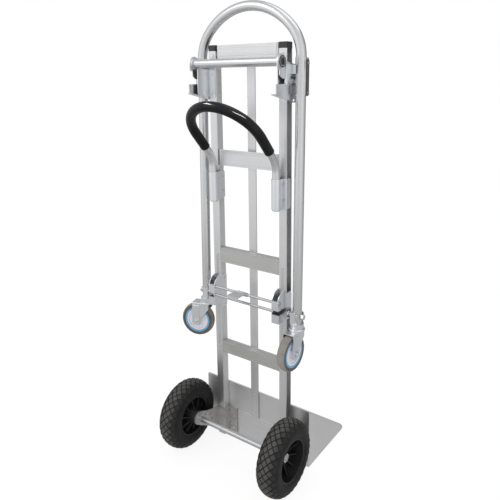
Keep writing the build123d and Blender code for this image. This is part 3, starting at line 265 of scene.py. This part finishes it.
def caster_rubber(word):
    """The rubber of one caster, shaded around that caster's own axle."""
    joint = Vector(CASTER_AXLES[word])
    low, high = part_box(f"caster_hub_{word}")
    return soft_rubber(f"caster_rubber_{word}", tuple((low + high) / 2), tuple(joint.normalized()))


LEAN = radians(1.0)        # the loop handle hangs this far to the rear of the rails
CASTER_TURNS = {"left": radians(-73.0), "right": radians(-2.0)}
CASTER_AXLES = {
    word: (cos(turn), sin(turn) * cos(LEAN), -sin(turn) * sin(LEAN)) for word, turn in CASTER_TURNS.items()
}

MATERIALS = {
    "rail": brushed("rail_aluminium", "Z", (0.84, 0.845, 0.85), (0.76, 0.765, 0.77), 0.34, 0.46),
    "brace": brushed("brace_aluminium", "X", (0.84, 0.845, 0.85), (0.74, 0.745, 0.75), 0.34, 0.46),
    "doubler": brushed("doubler_aluminium", "Z", (0.78, 0.775, 0.765), (0.66, 0.655, 0.645), 0.45, 0.60),
    "mill": brushed(
        "mill_aluminium", "X", (0.68, 0.675, 0.665), (0.60, 0.595, 0.585), 0.50, 0.62, grain=200.0,
    ),
    "plate": brushed(
        "nose_plate_aluminium", "X", (0.86, 0.86, 0.86), (0.80, 0.80, 0.80), 0.40, 0.52, grain=220.0,
    ),
    "tube": brushed(
        "satin_tube_aluminium", "Z", (0.77, 0.775, 0.78), (0.72, 0.725, 0.73), 0.24, 0.29,
        grain=320.0, relief=0.000002, painted_shade_share=0.95,
    ),
    "collar": brushed("collar_aluminium", "Z", (0.77, 0.775, 0.78), (0.70, 0.705, 0.71), 0.24, 0.34),
    "rod": brushed("rod_steel", "X", (0.66, 0.67, 0.68), (0.54, 0.55, 0.56), 0.30, 0.42),
    "zinc": zinc("zinc_steel", (0.92, 0.94, 0.96), (0.86, 0.88, 0.90), 0.27, 0.32),
    "bright": zinc("bright_zinc", (0.92, 0.93, 0.94), (0.82, 0.84, 0.86), 0.16, 0.26, painted_shade_share=0.6),
    "cast": cast("cast_aluminium", (0.70, 0.69, 0.68), (0.50, 0.49, 0.48)),
    "cap": plastic("cap_plastic", (0.026, 0.026, 0.027), (0.040, 0.040, 0.041), 0.38, 0.55, specular=0.5),
    # painted shade: the collar strips get a dark grey that stands for the shade they sit in
    "strip": plastic("strip_plastic_painted_shade", (0.055, 0.055, 0.058), (0.085, 0.085, 0.088), 0.35, 0.5, specular=0.4),
    "seal": plastic("seal_plastic", (0.020, 0.022, 0.024), (0.034, 0.036, 0.038), 0.35, 0.5, specular=0.35),
    "grip": vinyl("grip_vinyl"),
    "tyre": tyre_rubber("tyre_rubber"),
    "hub": plastic("hub_plastic", (0.010, 0.010, 0.011), (0.017, 0.017, 0.018), 0.28, 0.42, specular=0.35),
    "caster_tyre_left": caster_rubber("left"),
    "caster_tyre_right": caster_rubber("right"),
    "band": plastic("band_plastic", (0.11, 0.31, 0.50), (0.15, 0.36, 0.55), 0.35, 0.5, relief=0.00004),
    "caster_hub": plastic(
        "caster_hub_plastic", (0.62, 0.63, 0.69), (0.70, 0.70, 0.75), 0.32, 0.48, relief=0.00004,
    ),
}

LOOKS = {
    "rail": ("rail_left", "rail_right", "centre_strap"),
    "doubler": ("rail_doubler_plates",),
    "brace": ("cross_brace_top", "cross_brace_upper"),
    "mill": ("cross_brace_middle", "cross_brace_lower"),
    "plate": ("nose_plate",),
    "tube": ("loop_handle", "rear_handle_tube", "top_cross_tube"),
    "collar": ("pivot_collar_left", "pivot_collar_right"),
    "cast": ("axle_bracket_left", "axle_bracket_right"),
    "cap": ("rail_cap_left", "rail_cap_right"),
    "strip": ("collar_wear_strips",),
    "grip": ("rear_handle_grip",),
    "hub": ("wheel_hub_left", "wheel_hub_right"),
    "caster_tyre_left": ("caster_tyre_left",),
    "caster_tyre_right": ("caster_tyre_right",),
    "band": ("caster_band_left", "caster_band_right"),
    "caster_hub": ("caster_hub_left", "caster_hub_right", "caster_bush_left", "caster_bush_right"),
    "bright": (
        "frame_rivets", "rear_handle_bolts", "foot_bolts", "collar_screws", "pedal_spring",
        "axle_washers_and_nuts", "caster_axle_left", "caster_axle_right", "wheel_bearings_left",
        "wheel_bearings_right",
    ),
    "rod": ("pedal_rod", "lock_rod", "axle"),
}
BEVELS = {
    "rear_handle_grip": 0.0022, "frame_rivets": 0.0012, "rear_handle_bolts": 0.0008, "collar_screws": 0.001,
    "rail_cap_left": 0.0006, "rail_cap_right": 0.0006,
    "caster_tyre_left": 0.0012, "caster_tyre_right": 0.0012,
    "axle_bracket_left": 0.0016, "axle_bracket_right": 0.0016,
    "foot_clamp_left": 0.0008, "foot_clamp_right": 0.0008,
}
BEVEL_WIDTH = 0.0005
BEVEL_FROM = radians(32)   # edges that turn more than this are rounded
CRISP_FROM = radians(38)   # edges that still turn more than this are shaded as hard
WELD = 0.00001             # points closer than this are one point


def dress(name, material):
    """Gives a CAD node its material, soft edges on its corners and flat shading on its faces."""
    obj = nodes[name]
    obj.data.materials.clear()
    obj.data.materials.append(material)
    for polygon in obj.data.polygons:
        polygon.use_smooth = True
    weld = obj.modifiers.new("weld", "WELD")
    weld.merge_threshold = WELD
    bevel = obj.modifiers.new("soft_edges", "BEVEL")
    bevel.width = BEVELS.get(name, BEVEL_WIDTH)
    bevel.segments = 2
    bevel.limit_method = "ANGLE"
    bevel.angle_limit = BEVEL_FROM
    bevel.harden_normals = True
    crisp = obj.modifiers.new("crisp_edges", "EDGE_SPLIT")
    crisp.split_angle = CRISP_FROM
    crisp.use_edge_sharp = False
    flat = obj.modifiers.new("flat_faces", "WEIGHTED_NORMAL")
    flat.weight = 60


chosen = {name: look for look, names in LOOKS.items() for name in names}
for name in nodes:
    dress(name, MATERIALS[chosen.get(name, "zinc")])


# ---------------------------------------------------------------- pieces drawn here
def new_piece(name, vertices, faces, material, body):
    """A smooth mesh that rides one body of the frame."""
    mesh = bpy.data.meshes.new(name)
    mesh.from_pydata(vertices, [], faces)
    mesh.materials.append(MATERIALS[material])
    for polygon in mesh.polygons:
        polygon.use_smooth = True
    piece = bpy.data.objects.new(name, mesh)
    bpy.context.scene.collection.objects.link(piece)
    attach(piece, body)
    return piece


def turned_faces(steps, count):
    """Faces of a ring of profiles that each have count points."""
    faces = []
    for index in range(steps):
        here, there = index * count, (index + 1) % steps * count
        for k in range(count - 1):
            faces.append((here + k, here + k + 1, there + k + 1, there + k))
    return faces


def clean(piece, weld):
    """Turns the faces outward, and first joins points that coincide where asked."""
    work = bmesh.new()
    work.from_mesh(piece.data)
    if weld:
        bmesh.ops.remove_doubles(work, verts=work.verts, dist=WELD)
    bmesh.ops.recalc_face_normals(work, faces=work.faces)
    work.to_mesh(piece.data)
    work.free()


# ---------------------------------------------------------------- road tyres
WHEEL_R = 0.127
CROWN_R = 0.053            # radius of the arc across the tread
TREAD_COLUMNS = 7
TREAD_STEP = 0.0108        # distance between the columns of blocks
TREAD_COUNT = 30           # blocks round each column
TREAD_DEPTH = 0.0024
TREAD_REACH = 0.0365       # outer edge of the shoulder blocks, from the middle of the tyre
SHOULDER = 0.030           # where the tread turns down toward the wall
SHOULDER_SLOPE = 1.15      # fall of the grooves beyond it
SHOULDER_DROP = 0.0026     # about that fall at the middle of a shoulder block
SHOULDER_HEIGHT = 0.55     # height of the shoulder blocks against the others
COLUMN_DUST = (1.0, 0.95, 0.55, 0.12)    # from the middle column outward
CREST_DUST = 0.92          # share of it on the very top of a block
BLOCK_CORNERS = 12
BLOCK_SIDES = [(corner, (corner + 1) % BLOCK_CORNERS) for corner in range(BLOCK_CORNERS)]
BLOCK_SQUARENESS = 0.9     # 1 gives straight-sided lozenges, less rounds them
BLOCK_ROOT = 0.0004        # how far the blocks start below the grooves
TYRE_STEPS = 240
WALL = [
    # (distance from the middle, radius) from the tread down to the bead
    (0.0330, 0.1125), (0.0362, 0.1075), (0.0385, 0.1020), (0.0398, 0.0965), (0.0401, 0.0935),
    (0.0396, 0.0920), (0.0399, 0.0900), (0.0396, 0.0860), (0.0386, 0.0820), (0.0372, 0.0790),
    (0.0362, 0.0780), (0.0364, 0.0765), (0.0358, 0.0748), (0.0344, 0.0735), (0.0332, 0.0721),
]


def crown(w):
    """Radius over the tread faces at a distance w from the middle of the tyre."""
    return WHEEL_R - (CROWN_R - sqrt(max(CROWN_R * CROWN_R - w * w, 0.0)))


def groove_floor(w):
    """Radius at the foot of the tread blocks."""
    if abs(w) > SHOULDER:
        return crown(SHOULDER) - TREAD_DEPTH - (abs(w) - SHOULDER) * SHOULDER_SLOPE
    return crown(w) - TREAD_DEPTH


def tyre_profile():
    """(w, radius) points from bead to bead, at the bottom of the tread grooves."""
    top = [(w * 0.001, crown(w * 0.001) - TREAD_DEPTH) for w in range(-30, 31, 3)]
    left = [(-w, r) for w, r in reversed(WALL)]
    return left + top + WALL


def tread_block(column, index):
    """One raised block: its (w, radius, angle) points, how dusty each is, and its faces."""
    half_a = pi / TREAD_COUNT
    middle_w = column * TREAD_STEP
    middle_a = 2 * half_a * (index + 0.5 * (column % 2))
    on_shoulder = abs(column) == TREAD_COLUMNS // 2
    height = TREAD_DEPTH * (SHOULDER_HEIGHT if on_shoulder else 1.0)
    dust = COLUMN_DUST[abs(column)]
    rings = (
        # size against the block, lift above the grooves, share of the dust
        (0.86, -BLOCK_ROOT, 0.0),
        (0.80, 0.8 * height, 0.5),
        (0.72, height, 1.0),
        (0.36, height, 1.0),
    )
    points, shades, faces = [], [], []
    for size, lift, share in rings:
        for corner in range(BLOCK_CORNERS):
            turn = 2 * pi * corner / BLOCK_CORNERS
            reach = size / (abs(cos(turn)) + abs(sin(turn))) ** BLOCK_SQUARENESS
            w = max(-TREAD_REACH, min(TREAD_REACH, middle_w + TREAD_STEP * reach * cos(turn)))
            points.append((w, groove_floor(w) + lift, middle_a + half_a * reach * sin(turn)))
            shades.append(dust * share)
    crest = crown(middle_w)
    if on_shoulder:
        crest = crown(SHOULDER) - TREAD_DEPTH - SHOULDER_DROP + height
    points.append((middle_w, crest, middle_a))
    shades.append(dust * CREST_DUST)
    last = (len(rings) - 1) * BLOCK_CORNERS
    for start in range(0, last, BLOCK_CORNERS):
        above = start + BLOCK_CORNERS
        for corner, following in BLOCK_SIDES:
            faces.append((start + corner, start + following, above + following, above + corner))
    for corner, following in BLOCK_SIDES:
        faces.append((last + corner, last + following, last + BLOCK_CORNERS))
    return points, shades, faces


def make_tyre(word):
    """A pneumatic tyre with ribbed walls and a lattice of lozenge blocks, in place of the CAD one."""
    low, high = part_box(f"wheel_tyre_{word}")
    centre = (low + high) / 2
    profile = tyre_profile()
    angles = [2 * pi * index / TYRE_STEPS for index in range(TYRE_STEPS)]
    points = [(w, radius, angle) for angle in angles for w, radius in profile]
    faces = turned_faces(TYRE_STEPS, len(profile))
    tread = [0.0] * len(points)
    for column in range(-(TREAD_COLUMNS // 2), TREAD_COLUMNS // 2 + 1):
        for index in range(TREAD_COUNT):
            block_points, shades, block_faces = tread_block(column, index)
            faces += [tuple(len(points) + corner for corner in face) for face in block_faces]
            points += block_points
            tread += shades
    vertices = [
        (centre.x + w, centre.y - radius * cos(angle), centre.z + radius * sin(angle))
        for w, radius, angle in points
    ]
    piece = new_piece(f"road_tyre_{word}", vertices, faces, "tyre", f"wheel_{word}")
    attribute = piece.data.attributes.new("tread", "FLOAT", "POINT")
    attribute.data.foreach_set("value", tread)
    clean(piece, weld=False)
    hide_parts(f"wheel_tyre_{word}")


for word in SIDES.values():
    make_tyre(word)


# ---------------------------------------------------------------- ends of the top cross tube
def lathe(name, profile, centre, side, material, body, steps=64):
    """A turned piece about X: the profile holds (distance outward along X, radius) pairs."""
    vertices = []
    for index in range(steps):
        angle = 2 * pi * index / steps
        for along, radius in profile:
            vertices.append((side * along, centre[0] + radius * cos(angle), centre[1] + radius * sin(angle)))
    clean(new_piece(name, vertices, turned_faces(steps, len(profile)), material, body), weld=True)


tube_low, tube_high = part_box("top_cross_tube")
tube_centre = ((tube_low.y + tube_high.y) / 2, (tube_low.z + tube_high.z) / 2)
tube_end = tube_high.x
SEAL_RING = [
    # (distance past the end of the tube, radius) points of the rim that lips over it
    (-0.0011, 0.01405), (0.0002, 0.01415), (0.0008, 0.0150), (0.0006, 0.0166), (0.0000, 0.0175),
    (-0.0009, 0.0177), (-0.0009, 0.01405), (-0.0011, 0.01405),
]
PLUG = [
    # the same for the dished plug inside it
    (-0.012, 0.0), (-0.012, 0.0116), (-0.0022, 0.0116), (-0.0012, 0.0112),
    (-0.0014, 0.0098), (-0.0022, 0.0090), (-0.0024, 0.0040), (-0.0020, 0.0),
]
for side, word in SIDES.items():
    for part_name, outline in (("tube_seal", SEAL_RING), ("tube_plug", PLUG)):
        turned = [(tube_end + along, radius) for along, radius in outline]
        lathe(f"{part_name}_{word}", turned, tube_centre, side, "seal", "truck_frame")


# ---------------------------------------------------------------- floor, light and camera
STUDIO_WALLS = (
    # share of a turn starting behind the truck, half way being at the camera, and the brightness there
    (0.0, 0.4),
    (0.3, 0.9),            # lit wall on the camera's left
    (0.45, 0.7),           # gap round the camera
    (0.6, 0.9),            # lit wall on the camera's right
    (0.85, 0.2),           # dark screen beyond it
    (1.0, 0.4),
)
FLOOR_IN_METAL = 0.44      # how bright the floor looks in mirrored rays
FLOOR_GLOW = 0.88          # lifts the floor to near white, so its shadows stay faint
FLOOR_SWEEP = (1.5, 5.0)   # distances over which it fades into the walls in mirrored rays
FLOOR_SIZE = 60.0
FLOOR_DROP = 0.0005        # just clear of the tyres


def studio_world(camera_azimuth):
    """White to the camera and to plastics, with soft dark and bright walls for metal to mirror."""
    n = Nodes("world_maker")
    world = bpy.data.worlds.new("studio")
    bpy.context.scene.world = world
    world.use_nodes = True
    n.tree = world.node_tree
    background = n.tree.nodes["Background"]
    direction = n.add("ShaderNodeTexCoord").outputs["Generated"]
    rotate = n.add("ShaderNodeVectorRotate", rotation_type="Z_AXIS")
    rotate.inputs["Angle"].default_value = -camera_azimuth
    n.link(direction, rotate.inputs["Vector"])
    split = n.add("ShaderNodeSeparateXYZ")
    n.link(rotate.outputs["Vector"], split.inputs["Vector"])
    around = n.maths("ARCTAN2", split.outputs["X"], n.maths("MULTIPLY", split.outputs["Y"], -1.0))
    share = n.spread(around, -pi, pi, 0.0, 1.0)
    ramp = n.add("ShaderNodeValToRGB")
    stops = ramp.color_ramp.elements
    while len(stops) < len(STUDIO_WALLS):
        stops.new(0.5)
    for stop, (place, level) in zip(stops, STUDIO_WALLS):
        stop.position = place
        stop.color = (level, level, level * 1.01, 1)
    n.link(share, ramp.inputs["Fac"])
    overhead = n.spread(split.outputs["Z"], 0.45, 0.95, 0.0, 1.0)
    mirrored = n.mix(overhead, ramp.outputs["Color"], (0.62, 0.62, 0.63))
    rays = n.add("ShaderNodeLightPath").outputs
    seen = n.mix(rays["Is Glossy Ray"], (0.98, 0.98, 0.98), mirrored)
    n.link(n.mix(rays["Is Camera Ray"], seen, (1.0, 1.0, 1.0)), background.inputs["Color"])
    bpy.data.materials.remove(n.mat)


def studio():
    """A pale floor, greyer near the truck as metal mirrors it and swept up into the walls beyond."""
    bpy.ops.mesh.primitive_plane_add(size=FLOOR_SIZE, location=(0, 0, -FLOOR_DROP))
    floor = bpy.context.object
    floor.name = "studio_floor"
    n = Nodes("studio_floor")
    tone = n.between(n.noise(1.5, 2.0), (0.14, 0.14, 0.14), (0.15, 0.15, 0.15))
    n.set(colour=tone, roughness=0.9, specular=0.0)
    n.bsdf.inputs["Emission Color"].default_value = (1.0, 1.0, 1.0, 1.0)
    n.bsdf.inputs["Emission Strength"].default_value = FLOOR_GLOW
    rays = n.add("ShaderNodeLightPath").outputs
    mirrored = n.add("ShaderNodeEmission")
    mirrored.inputs["Color"].default_value = (FLOOR_IN_METAL, FLOOR_IN_METAL, FLOOR_IN_METAL, 1.0)
    choice = n.add("ShaderNodeMixShader")
    away = n.add("ShaderNodeVectorMath", operation="LENGTH")
    n.link(n.coord, away.inputs[0])
    swept = n.add("ShaderNodeMixShader")
    n.link(n.spread(away.outputs["Value"], *FLOOR_SWEEP, 0.0, 1.0), swept.inputs["Fac"])
    n.link(mirrored.outputs["Emission"], swept.inputs[1])
    n.link(n.add("ShaderNodeBsdfTransparent").outputs["BSDF"], swept.inputs[2])
    n.link(rays["Is Glossy Ray"], choice.inputs["Fac"])
    n.link(n.bsdf.outputs["BSDF"], choice.inputs[1])
    n.link(swept.outputs["Shader"], choice.inputs[2])
    output = next(node for node in n.tree.nodes if node.type == "OUTPUT_MATERIAL")
    n.link(choice.outputs["Shader"], output.inputs["Surface"])
    floor.data.materials.append(n.mat)


def softbox(name, place, target, size, power, only=()):
    """A rectangular lamp, which can be made to light only the named pieces."""
    light = bpy.data.lights.new(name, "AREA")
    light.shape = "RECTANGLE"
    light.size, light.size_y = size
    light.energy = power
    lamp = bpy.data.objects.new(name, light)
    lamp.location = place
    lamp.rotation_euler = (Vector(target) - Vector(place)).to_track_quat("-Z", "Y").to_euler()
    bpy.context.scene.collection.objects.link(lamp)
    if only:
        lit = bpy.data.collections.new(name + "_receivers")
        for piece in only:
            lit.objects.link(nodes[piece])
        lamp.light_linking.receiver_collection = lit


# the camera that the photo was taken with, as fitted to the outline of the truck
CAMERA = (1.04384, -1.45454, 1.35639)
AZIMUTH = radians(35.56)
PITCH = radians(12.47)
ROLL = radians(-0.62)
studio()
studio_world(AZIMUTH)
softbox("key_light", (-1.6, -2.4, 3.2), (0, 0, 0.9), (1.6, 2.0), 14)
softbox("top_light", (0.6, 0.4, 3.4), (0, 0, 0.9), (2.0, 2.0), 8)
softbox("grip_light", (1.5, -1.0, 2.5), (0, -0.2, 1.2), (1.4, 0.3), 90, only=("rear_handle_grip",))
softbox("grip_glow", (-1.1, -1.0, 2.7), (0, -0.2, 1.2), (0.8, 0.3), 50, only=("rear_handle_grip",))
camera_data = bpy.data.cameras.new("camera")
camera_data.sensor_width = 36.0
camera_data.lens = 38.69
camera_data.shift_x = -0.0102
camera_data.shift_y = -0.1092
camera_data.clip_start = 0.05
camera_data.clip_end = 100.0
camera = bpy.data.objects.new("camera", camera_data)
forward = Vector((-sin(AZIMUTH) * cos(PITCH), cos(AZIMUTH) * cos(PITCH), -sin(PITCH)))
right = Vector((cos(AZIMUTH), sin(AZIMUTH), 0))
up = right.cross(forward)
rolled_right = cos(ROLL) * right + sin(ROLL) * up
rolled_up = cos(ROLL) * up - sin(ROLL) * right
axes = Matrix((rolled_right, rolled_up, -forward)).transposed().to_4x4()
camera.matrix_world = Matrix.Translation(CAMERA) @ axes
bpy.context.scene.collection.objects.link(camera)
bpy.context.scene.camera = camera
bpy.context.scene.view_settings.view_transform = "Standard"
